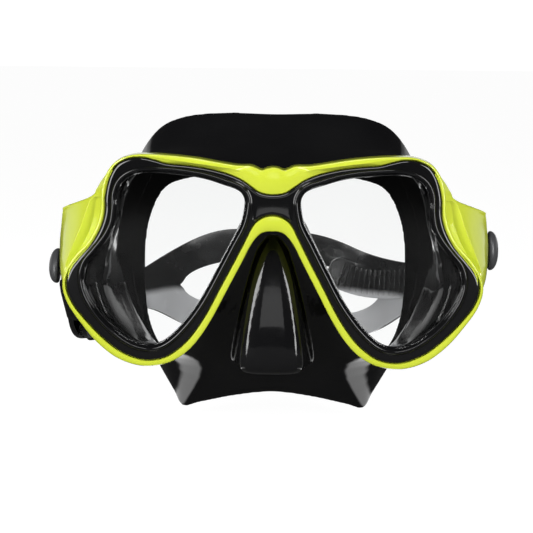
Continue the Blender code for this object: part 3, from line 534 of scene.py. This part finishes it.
def frame_shell():
    """The lime rim: a filleted wall round the bezel, bulging a little over the brow."""
    middle = [p.lerp(q, 0.5) for p, q in zip(outset(bezel_line, 0.5), outset(frame_line, -0.6))]
    gap = [(q - p).length for p, q in zip(bezel_line, frame_line)]
    bulge = [(p.x, FRAME_FRONT - 0.10 * max(0.0, g - 2.0), p.y) for p, g in zip(middle, gap)]
    rings = [
        at_depth(outset(bezel_line, 0.35), BEZEL_BACK),
        at_depth(outset(bezel_line, 0.35), FRAME_FRONT + 0.35),
        at_depth(outset(bezel_line, 0.5), FRAME_FRONT + 0.05),
        bulge,
        at_depth(outset(frame_line, -0.6), FRAME_FRONT + 0.02),
        at_depth(outset(frame_line, -0.28), FRAME_FRONT + 0.16),
        at_depth(outset(frame_line, -0.05), FRAME_FRONT + 0.5),
        at_depth(frame_line, FRAME_FRONT + 1.0),
        at_depth(outset(frame_line, 0.22), FRAME_BACK - 1.2),
        at_depth(outset(frame_line, 0.1), FRAME_BACK - 0.4),
        at_depth(outset(frame_line, -0.3), FRAME_BACK),
        at_depth(outset(bezel_line, -1.7), FRAME_BACK),
        at_depth(outset(bezel_line, -1.7), 1.0),
    ]
    rim = bend_to_sweep(loft(rings, ring_closed=True), 0)
    ear = ear_shell()
    boss = rounded(cylinder(4.4, (EAR_SEAT_X, PIVOT_Y, PIVOT_Z), (83.0, PIVOT_Y, PIVOT_Z)), 0.3)
    return joined([rim, ear, mirrored(ear), boss, mirrored(boss)])


def bridge_saddle(mesh):
    """Leans the lower half of the bezel's bridge, which then shows as a facet of its own."""
    crease, reach, foot, lean = 23.4, 8.2, 17.0, 0.13
    bm = bmesh.new()
    bm.from_mesh(mesh)
    geometry = bm.verts[:] + bm.edges[:] + bm.faces[:]
    bmesh.ops.bisect_plane(bm, geom=geometry, dist=1e-7, plane_co=(0, 0, crease * MM), plane_no=(0, 0, 1))
    for v in bm.verts:
        x, y, z = v.co / MM
        if abs(x) < reach and foot < z < crease - 0.1 and y < BEZEL_FRONT + 1.4 + sweep_back(x):
            v.co.y -= lean * (crease - z) * MM
    bm.to_mesh(mesh)
    bm.free()
    return mesh


def bezel_shell():
    """Outer band with its bridge, and a raised, stepped ring round each window."""
    top = BEZEL_FRONT + 1.1
    band = loft([
        at_depth(outset(bezel_line, -1.5), top),
        at_depth(outset(bezel_line, -1.1), top + 0.02),
        at_depth(outset(bezel_line, -0.55), top + 0.14),
        at_depth(outset(bezel_line, -0.15), top + 0.45),
        at_depth(bezel_line, top + 0.9),
        at_depth(bezel_line, BEZEL_BACK),
    ])
    for loop in window(1.3):
        band = combine(band, [("DIFFERENCE", prism(loop, -6.0, 2.0))])
    parts = [bridge_saddle(bend_to_sweep(band))]
    section = (
        (0.0, BEZEL_BACK), (0.15, -1.2), (0.35, -1.9), (1.05, -3.1), (1.3, -3.42), (1.62, -3.58),
        (1.95, -3.58), (2.25, -3.45), (2.5, -3.15), (2.75, -2.62), (3.1, -2.42), (3.1, BEZEL_BACK),
    )
    for side in (0, 1):
        rings = [at_depth(window(distance)[side], depth) for distance, depth in section]
        parts.append(bend_to_sweep(loft(rings, ring_closed=True), 0))
    return joined(parts)


# ---- skirt -------------------------------------------------------------------------------------------
def inner_rings(rings):
    """The wall's inside: each ring moved square to the surface that the rings make."""
    count = len(rings[0])
    inner = []
    for r, ring in enumerate(rings):
        ahead, behind = rings[min(r + 1, len(rings) - 1)], rings[max(r - 1, 0)]
        moved = []
        for i, p in enumerate(ring):
            round_way = ring[(i + 1) % count] - ring[i - 1]
            moved.append(p - round_way.cross(ahead[i] - behind[i]).normalized() * SKIRT_WALL)
        inner.append(moved)
    return inner


def between(rings, steps):
    """Extra rings, so that the wall curves smoothly from each station to the next."""
    columns = [catmull_rom([ring[i] for ring in rings], steps, False) for i in range(len(rings[0]))]
    return [[column[k] for column in columns] for k in range(len(columns[0]))]


def nose_pocket(shrink, back):
    """The pocket's outside, or its hollow when shrunk."""
    levels = []
    last = len(NOSE_LEVELS) - 1
    for i, (z, front_half, front_y, back_half) in enumerate(NOSE_LEVELS):
        z += -shrink if i == 0 else shrink if i == last else 0
        w, b, y = front_half - shrink * 0.7, back_half - shrink, front_y + shrink
        half = [(0, y - 0.5), (w * 0.55, y - 0.3), (w * 0.9, y + 0.5), (w + 1.0, y + 2.2)]
        half += [(b, NOSE_BACK), (b, back)]
        ring = [(x, depth, z) for x, depth in half + [(-x, depth) for x, depth in reversed(half[1:])]]
        levels.append([Vector(p) for p in ring])
    return loft(between(levels, 3))


def skirt_shell():
    """One silicone moulding, rounded all over."""
    stations = (SKIRT_NECK, SKIRT_WAIST, SKIRT_SHOULDER, SKIRT_RIM, SKIRT_SEAL, SKIRT_LIP)
    neck, waist, shoulder, rim, seal, lip = (catmull_rom(both_sides(s), OUTLINE_STEPS, True) for s in stations)
    throat = outset(plate_line, -2.9)
    front = []
    for p in neck:
        q = min(throat, key=lambda t: (t.x - p.x)**2 + (t.y - p.z)**2)
        front.append(Vector((q.x, PLATE_BACK - 0.6 + sweep_back(q.x), q.y)))
    collar = [Vector((p.x, FRAME_BACK + 0.6 + sweep_back(p.x), p.z)) for p in front]
    wall = between([front, collar, neck, waist, shoulder, rim], WALL_STEPS)
    rim_back = [p + Vector((0, 1.4, 0)) for p in rim]
    turned = between([rim_back, seal, lip], LIP_STEPS)
    lip_front = [p + Vector((0, -1.3, 0)) for p in lip]
    seal_front = [p + Vector((0, -SKIRT_WALL - 0.6, 0)) for p in seal]
    to_shoulder = wall[:4 * WALL_STEPS + 1]
    rings = wall + turned + [lip_front, seal_front] + inner_rings(to_shoulder)[::-1]
    steps = [("UNION", bend_to_sweep(prism(outset(plate_line, -0.9), 0.0, PLATE_BACK)))]
    steps += [("UNION", nose_pocket(0.0, NOSE_BACK + 0.5)), ("DIFFERENCE", nose_pocket(1.7, NOSE_BACK + 12))]
    for loop in window(0.4):
        steps.append(("DIFFERENCE", bend_to_sweep(prism(loop, -3.0, PLATE_BACK + 0.4))))
    solid = combine(loft(rings, ring_closed=True), steps)
    remesh = {"mode": "VOXEL", "voxel_size": 0.62 * MM, "use_smooth_shade": True}
    return applied(solid, ("REMESH", remesh),
                   ("SMOOTH", {"factor": 0.5, "iterations": 7}))


# ---- buckles -----------------------------------------------------------------------------------------
# They are built for the +X side about the swivel axis, in (out from the middle, behind the axis, up).
def buckle_shell():
    """Tongue, floor, two cheeks and the bridge under the button."""
    low, high = EAR_SEAT_X - 3.3, EAR_SEAT_X - 1.2
    outline = [
        (3.0, 5.6), (BODY_START, 6.2), (BODY_START + 4.5, CHEEK_OUT), (BODY_END - 2.0, CHEEK_OUT),
        (BODY_END, CHEEK_OUT - 2.0),
    ]
    outline += [(a, -up) for a, up in reversed(outline)]
    steps = [("UNION", loft([[(x, a, up) for a, up in outline] for x in (low, high)]))]
    cheek = [
        (low + 0.3, BODY_START + 4.6), (84.6, BODY_START + 1.6), (86.2, BODY_START + 3.4),
        (86.2, BODY_START + 9.0), (85.0, ROLLER_A + 3.2), (82.4, BODY_END - 0.3), (low + 0.3, BODY_END - 0.3),
    ]
    for sign in (1, -1):
        span = sorted((sign * CHEEK_IN, sign * CHEEK_OUT))
        steps.append(("UNION", loft([[(x, a, up) for x, a in cheek] for up in span])))
    bridge = box_mesh((BRIDGE_LOW_X, 11.9, -CHEEK_IN - 0.6), (BRIDGE_HIGH_X, 18.8, CHEEK_IN + 0.6))
    bridge_foot = box_mesh((low + 0.2, BODY_START - 0.4, -6.0), (BRIDGE_HIGH_X - 0.2, BODY_START + 1.2, 6.0))
    steps += [("UNION", bridge), ("UNION", bridge_foot)]
    steps.append(("DIFFERENCE", cylinder(PIVOT_BORE_R, (60, 0, 0), (90, 0, 0))))
    steps.append(("DIFFERENCE", cylinder(STEM_R + FIT, (82, BUTTON_A, 0), (90, BUTTON_A, 0))))
    for x, a, r in ((ROLLER_X, ROLLER_A, 1.0), (PAWL_X, PAWL_A, PAWL_PIN_R)):
        steps.append(("DIFFERENCE", cylinder(r + 0.2, (x, a, -12), (x, a, 12))))
    solid = combine(cylinder(TONGUE_R, (low + 0.1, 0, 0), (EAR_SEAT_X - 0.4, 0, 0), 64), steps)
    return rounded(solid, 0.32, 2, 34)


def button_shell():
    """The oval, domed cap, with its stem."""
    profile = (
        (0.0, 0.90), (0.12, 0.95), (0.5, 0.99), (0.9, 1.0), (1.4, 0.99), (2.0, 0.95), (2.6, 0.88),
        (3.1, 0.78), (3.5, 0.66), (3.8, 0.53), (4.02, 0.38), (4.14, 0.22), (4.18, 0.08),
    )
    rings = []
    for height, share in profile:
        ring = []
        for i in range(72):
            t = 2 * math.pi * i / 72
            ring.append((BUTTON_BASE_X + height, BUTTON_A + BUTTON_WIDE * share * math.cos(t),
                         BUTTON_LONG * share * math.sin(t)))
        rings.append(ring)
    return joined([loft(rings), cylinder(STEM_R, (81.3, BUTTON_A, 0), (BUTTON_BASE_X + 1.0, BUTTON_A, 0))])


def to_side(mesh, sign, angle):
    """A +X buckle mesh set at one side of the mask, at its rest angle."""
    if sign < 0:
        mesh = mirrored(mesh)
    pivot = Matrix.Translation((0, PIVOT_Y * MM, PIVOT_Z * MM))
    mesh.transform(pivot @ Matrix.Rotation(math.radians(angle), 4, "X"))
    return mesh


# ---- strap -------------------------------------------------------------------------------------------
def at_buckle(angle, sign, out, behind, up=0.0):
    """A point given at a buckle, in the mask's frame."""
    t = math.radians(angle)
    y = PIVOT_Y + behind * math.cos(t) - up * math.sin(t)
    return Vector((sign * out, y, PIVOT_Z + behind * math.sin(t) + up * math.cos(t)))


def resample(line, step):
    """The line's points again, evenly spaced along it."""
    length = sum((q - p).length for p, q in zip(line, line[1:]))
    count = max(2, round(length / step))
    gap = length / count
    points, walked, target = [line[0]], 0.0, gap
    for p, q in zip(line, line[1:]):
        span = (q - p).length
        while walked + span >= target - 1e-9 and len(points) < count:
            points.append(p.lerp(q, (target - walked) / span))
            target += gap
        walked += span
    return points + [line[-1]]


def loop_line(step):
    """The strap's middle line from the outer side of the left roller to that of the right one."""
    ends = []
    for sign, angle in ((-1, LEFT_SWIVEL), (1, RIGHT_SWIVEL)):
        outs = ((0, WRAP_R), (8, WRAP_R - 0.5), (16, 2.2))
        ends.append([at_buckle(angle, sign, ROLLER_X + out, ROLLER_A + behind) for behind, out in outs])
    route = ends[0] + [Vector(p) for p in STRAP_ROUTE] + ends[1][::-1]
    return resample(catmull_rom(route, 10, False), step)


def width_way(t, along):
    """Which way the strap's width lies: square to a buckle at an end, upright behind the head."""
    angle = LEFT_SWIVEL if t <= 0.5 else RIGHT_SWIVEL
    at_end = Vector((0, -math.sin(math.radians(angle)), math.cos(math.radians(angle))))
    share = min(1.0, min(t, 1 - t) / 0.28)
    share = share * share * (3 - 2 * share)
    way = at_end.lerp(Vector((0, 0.10, 1.0)), share)
    return (way - along * way.dot(along)).normalized()


def ways_along(line):
    ways = []
    for i in range(len(line)):
        along = (line[min(i + 1, len(line) - 1)] - line[max(i - 1, 0)]).normalized()
        ways.append((along, width_way(i / (len(line) - 1), along)))
    return ways


def tail_line(line, ways, sign, angle, length):
    """From a roller's outer side round its front, then back inside the strap to the tail's tip."""
    points, widths = [], []
    end_way = Vector((0, -math.sin(math.radians(angle)), math.cos(math.radians(angle))))
    for i in range(17):
        t = math.pi * i / 16
        out, behind = ROLLER_X + WRAP_R * math.cos(t), ROLLER_A - WRAP_R * math.sin(t)
        points.append(at_buckle(angle, sign, out, behind))
        widths.append(end_way)
    start = at_buckle(angle, sign, ROLLER_X - WRAP_R + 0.4, ROLLER_A + 7)
    points.append(start)
    widths.append(end_way)
    walked = 0.0
    climb_start = KEEPER_AT + 10
    for i in range(1, len(line)):
        walked += (line[i] - line[i - 1]).length
        if walked > length:
            break
        if walked > 15:
            along, way = ways[i]
            lift = TAIL_LIFT * (max(0.0, walked - climb_start) / (RIGHT_TAIL - climb_start))**2
            points.append(line[i] + along.cross(way) * TAIL_GAP + way * lift)
            widths.append(way)
    return points, widths


def half_width(s):
    """The strap's half width at a distance along the loop."""
    if not PAD_START < s < PAD_END:
        return STRAP_HALF_WIDTH
    t = min(1.0, (s - PAD_START) / LEFT_FLARE, (PAD_END - s) / RIGHT_FLARE)
    t = t * t * (3 - 2 * t)
    return STRAP_HALF_WIDTH + (STRAP_PAD_HALF - STRAP_HALF_WIDTH) * t


def slot_half(s):
    middle, reach = (SLOT_START + SLOT_END) / 2, (SLOT_END - SLOT_START) / 2
    u = abs(s - middle) / reach
    return SLOT_HALF * math.sqrt(1 - u * u) if u < 1 else 0.0


def strap_parts():
    """The strap, laid out as a sheet along its line with the split open, then thickened and rounded."""
    line = loop_line(1.6)
    ways = ways_along(line)
    left, left_ways = tail_line(line, ways, -1, LEFT_SWIVEL, LEFT_TAIL)
    right, right_ways = tail_line(line[::-1], ways[::-1], 1, RIGHT_SWIVEL, RIGHT_TAIL)
    path = left[::-1] + line[1:-1] + right
    widths = left_ways[::-1] + [w for _, w in ways[1:-1]] + right_ways
    first, last = len(left), len(left) + len(line) - 2
    bm = bmesh.new()
    columns, ribs = [], []
    walked, length = 0.0, 0.0
    next_rib = 0.0
    for i, p in enumerate(path):
        inside = first <= i < last
        if inside:
            walked += (path[i] - path[i - 1]).length
        if i:
            length += (path[i] - path[i - 1]).length
        along = (path[min(i + 1, len(path) - 1)] - path[max(i - 1, 0)]).normalized()
        way = widths[i]
        way = (way - along * way.dot(along)).normalized()
        half = half_width(walked) if inside else STRAP_HALF_WIDTH
        tip = min(i, len(path) - 1 - i)
        half *= (0.55, 0.8, 0.92, 0.98)[tip] if tip < 4 else 1.0
        gap = slot_half(walked) if inside else 0.0
        column = []
        for u in (1.0, 0.66, 0.33, 0.0):
            column.append(bm.verts.new((p + way * (gap + (half - gap) * u)) * MM))
        lower = [bm.verts.new((p - way * gap) * MM) if gap else column[3]]
        for u in (0.33, 0.66, 1.0):
            lower.append(bm.verts.new((p - way * (gap + (half - gap) * u)) * MM))
        columns.append((column, lower))
        ribbed = not inside or walked < 46 or walked > PAD_END + 6
        if ribbed and length >= next_rib and tip > 4:
            next_rib = length + 2.3
            ribs.append((p, along, way, half - 1.4))
    for a, b in zip(columns, columns[1:]):
        for side in (0, 1):
            for k in range(3):
                bm.faces.new((a[side][k], a[side][k + 1], b[side][k + 1], b[side][k]))
    bmesh.ops.recalc_face_normals(bm, faces=bm.faces)
    bm.normal_update()
    for v in bm.verts:
        v.co -= v.normal * STRAP_THICK / 2 * MM
    bmesh.ops.solidify(bm, geom=bm.faces[:], thickness=-STRAP_THICK * MM)
    sheet = rounded(finish_mesh(bm, "strap"), 0.45, 2, 50)
    return sheet, ribs


def rib_mesh(ribs):
    """Low half-round bars across the strap, on the side that the pawls hold."""
    bars = []
    for p, along, way, half in ribs:
        out = way.cross(along)
        centre = p + out * (STRAP_THICK / 2 - 0.25)
        rings = []
        for end in (-half, -half + 0.3, half - 0.3, half):
            size = 0.55 if abs(end) == half else 0.75
            rings.append([centre + way * end + along * size * math.cos(t) + out * size * math.sin(t)
                          for t in (2 * math.pi * k / 10 for k in range(10))])
        bars.append(loft(rings))
    return joined(bars)


def keeper_shell(sign):
    """A soft band round the strap and its tail."""
    line = loop_line(1.0)
    ways = ways_along(line)
    if sign > 0:
        line, ways = line[::-1], ways[::-1]
    walked, i = 0.0, 0
    while walked < KEEPER_AT:
        i += 1
        walked += (line[i] - line[i - 1]).length
    along, way = ways[i]
    inward = along.cross(way)
    centre = line[i] + inward * TAIL_GAP / 2

    def ring(grow, shift):
        out, high = TAIL_GAP / 2 + STRAP_THICK / 2 + 0.7 + grow, STRAP_HALF_WIDTH + 0.7 + grow
        corner = 0.5 + max(grow, 0.0)
        points = []
        for cx, cy, start in ((1, 1, 0), (-1, 1, 90), (-1, -1, 180), (1, -1, 270)):
            for k in range(7):
                t = math.radians(start + 15 * k)
                u = cx * (out - corner) + corner * math.cos(t)
                v = cy * (high - corner) + corner * math.sin(t)
                points.append(centre + inward * u + way * v + along * shift)
        return points

    section = (
        (0.0, -1.7), (0.3, -2.0), (0.8, -2.0), (1.02, -1.85), (1.1, -1.5),
        (1.1, 1.5), (1.02, 1.85), (0.8, 2.0), (0.3, 2.0), (0.0, 1.7),
    )
    return loft([ring(grow, shift) for grow, shift in section], ring_closed=True)


# ---- build -------------------------------------------------------------------------------------------
show("frame_shell", frame_shell(), lime, "mask", ("chassis_frame",), 30)
show("bezel_shell", bezel_shell(), black, "mask", ("lens_bezel",), 30)
show("skirt_shell", skirt_shell(), silicone, "mask", ("skirt",), 70)
for side, sign, angle in (("left", -1, LEFT_SWIVEL), ("right", 1, RIGHT_SWIVEL)):
    show(f"buckle_shell_{side}", to_side(buckle_shell(), sign, angle), buckle_black, f"buckle_{side}",
         (f"buckle_body_{side}",))
    show(f"button_cap_{side}", to_side(button_shell(), sign, angle), button_grey, f"button_{side}",
         (f"release_button_{side}",), 40)
    show(f"keeper_band_{side}", keeper_shell(sign), strap_rubber, "buckle_left",
         (f"strap_keeper_{side}",))
strap_sheet, strap_ribs = strap_parts()
show("strap_band", strap_sheet, strap_rubber, "buckle_left", ("strap",), 50)
show("strap_ribs", rib_mesh(strap_ribs), strap_rubber, "buckle_left", (), 60)

for name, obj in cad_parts.items():
    chosen = None
    if name in ("lens_left", "lens_right"):
        chosen = glass
    elif "pin" in name or "axle" in name or "spring" in name:
        chosen = stainless
    elif "pawl" in name or "roller" in name:
        chosen = buckle_black
    if chosen:
        obj.data.materials.clear()
        obj.data.materials.append(chosen)
        obj.data.shade_smooth()
        obj.data.set_sharp_from_angle(angle=math.radians(35))


# ---- studio ------------------------------------------------------------------------------------------
FLOOR_Z = -0.0690
# The floor's bright bands, in metres: how far from the middle each starts and ends, and from which depth on.
BAND_START, BAND_END, BAND_FROM = (0.040, 0.043), (0.0525, 0.057), (-0.02, 0.03)
FLOOR_SEEN, FLOOR_MIRRORED, FLOOR_GLOW = 0.95, 2.6, 0.02
WALL_MIRRORED, WORLD_GLOW = 0.85, 0.03


def stage_plane(name, size, place, mat):
    bm = bmesh.new()
    bmesh.ops.create_grid(bm, x_segments=1, y_segments=1, size=size / 2)
    mesh = finish_mesh(bm, name)
    mesh.materials.append(mat)
    obj = bpy.data.objects.new(name, mesh)
    obj.location = place
    bpy.context.scene.collection.objects.link(obj)


def area_light(name, place, target, size, power):
    data = bpy.data.lights.new(name, "AREA")
    data.shape = "RECTANGLE"
    data.size, data.size_y = size
    data.energy = power
    obj = bpy.data.objects.new(name, data)
    obj.location = place
    obj.rotation_euler = (Vector(target) - Vector(place)).to_track_quat("-Z", "Y").to_euler()
    bpy.context.scene.collection.objects.link(obj)


def pale_floor():
    """Nearly white to the camera. In reflections it is dark but for a bright band under each cheek."""
    n = Nodes("pale_floor")
    cloud = n.noise(3.0, 2.0).outputs["Fac"]
    path = n.add("ShaderNodeLightPath")
    place = n.add("ShaderNodeSeparateXYZ", Vector=n.add("ShaderNodeNewGeometry").outputs["Position"])
    across = n.maths("ABSOLUTE", place.outputs["X"])
    band = n.maths("MULTIPLY", n.eased(across, *BAND_START), n.eased(place.outputs["Y"], *BAND_FROM))
    band = n.maths("MULTIPLY", band, n.maths("SUBTRACT", 1.0, n.eased(across, *BAND_END)))
    in_gloss = n.maths("MULTIPLY", n.maths("MULTIPLY", band, path.outputs["Is Glossy Ray"]), FLOOR_MIRRORED)
    seen = n.maths("MULTIPLY", path.outputs["Is Camera Ray"], FLOOR_SEEN)
    n.colours(n.ranged(cloud, 0.0, 1.0), (0.14, 0.14, 0.14), (0.17, 0.17, 0.17))
    n.set(n.shader, "Roughness", 1.0)
    n.set(n.shader, "Specular IOR Level", 0.0)
    n.set(n.shader, "Emission Color", (1.0, 1.0, 1.0, 1.0))
    n.set(n.shader, "Emission Strength", n.maths("ADD", n.maths("ADD", in_gloss, seen), FLOOR_GLOW))
    return n.mat


def studio_world():
    """White to the camera. In reflections the wall behind the mask is bright and the rest is dark."""
    world = bpy.data.worlds.new("studio")
    world.use_nodes = True
    tree = world.node_tree
    path = tree.nodes.new("ShaderNodeLightPath")
    way = tree.nodes.new("ShaderNodeSeparateXYZ")
    tree.links.new(tree.nodes.new("ShaderNodeTexCoord").outputs["Generated"], way.inputs[0])
    behind = eased(tree, way.outputs["Y"], 0.08, 0.40)
    low = maths(tree, "SUBTRACT", 1.0, eased(tree, way.outputs["Z"], 0.16, 0.34))
    wall = maths(tree, "MULTIPLY", maths(tree, "MULTIPLY", behind, low), path.outputs["Is Glossy Ray"])
    in_gloss = maths(tree, "MULTIPLY", wall, WALL_MIRRORED)
    strength = maths(tree, "ADD", in_gloss, path.outputs["Is Camera Ray"])
    background = tree.nodes["Background"]
    background.inputs["Color"].default_value = (1.0, 1.0, 1.0, 1.0)
    tree.links.new(maths(tree, "ADD", strength, WORLD_GLOW), background.inputs["Strength"])
    return world


stage_plane("floor", 60.0, (0, 20.0, FLOOR_Z), pale_floor())

bpy.context.scene.world = studio_world()

area_light("left_softbox", (-0.78, -0.72, 0.28), (0, 0, 0), (0.42, 0.80), 10.0)
area_light("right_softbox", (0.80, -0.70, 0.24), (0, 0, 0), (0.34, 0.80), 8.5)
area_light("front_fill", (0.0, -0.80, 0.90), (0, 0, 0), (0.8, 0.22), 4.5)
area_light("nose_glow", (0.0, -1.30, 0.345), (0, 0, -0.02), (0.42, 0.41), 0.55)


# ---- camera ------------------------------------------------------------------------------------------
CAMERA_LENS, CAMERA_DISTANCE = 131.0, 0.755
CAMERA_YAW, CAMERA_PITCH, CAMERA_ROLL = math.radians(-1.2), math.radians(6.0), math.radians(0.6)
CAMERA_AIM = Vector((-0.0022, 0.0, -0.0014))


def add_camera():
    data = bpy.data.cameras.new("camera")
    data.lens = CAMERA_LENS
    camera = bpy.data.objects.new("camera", data)
    level = math.cos(CAMERA_PITCH)
    away = Vector((-math.sin(CAMERA_YAW) * level, -math.cos(CAMERA_YAW) * level, math.sin(CAMERA_PITCH)))
    camera.location = CAMERA_AIM + away * CAMERA_DISTANCE
    look = (-away).to_track_quat("-Z", "Y").to_matrix()
    camera.rotation_euler = (look @ Matrix.Rotation(CAMERA_ROLL, 3, "Z")).to_euler()
    return camera


scene = bpy.context.scene
scene.view_settings.view_transform = "Standard"
scene.camera = add_camera()
scene.collection.objects.link(scene.camera)
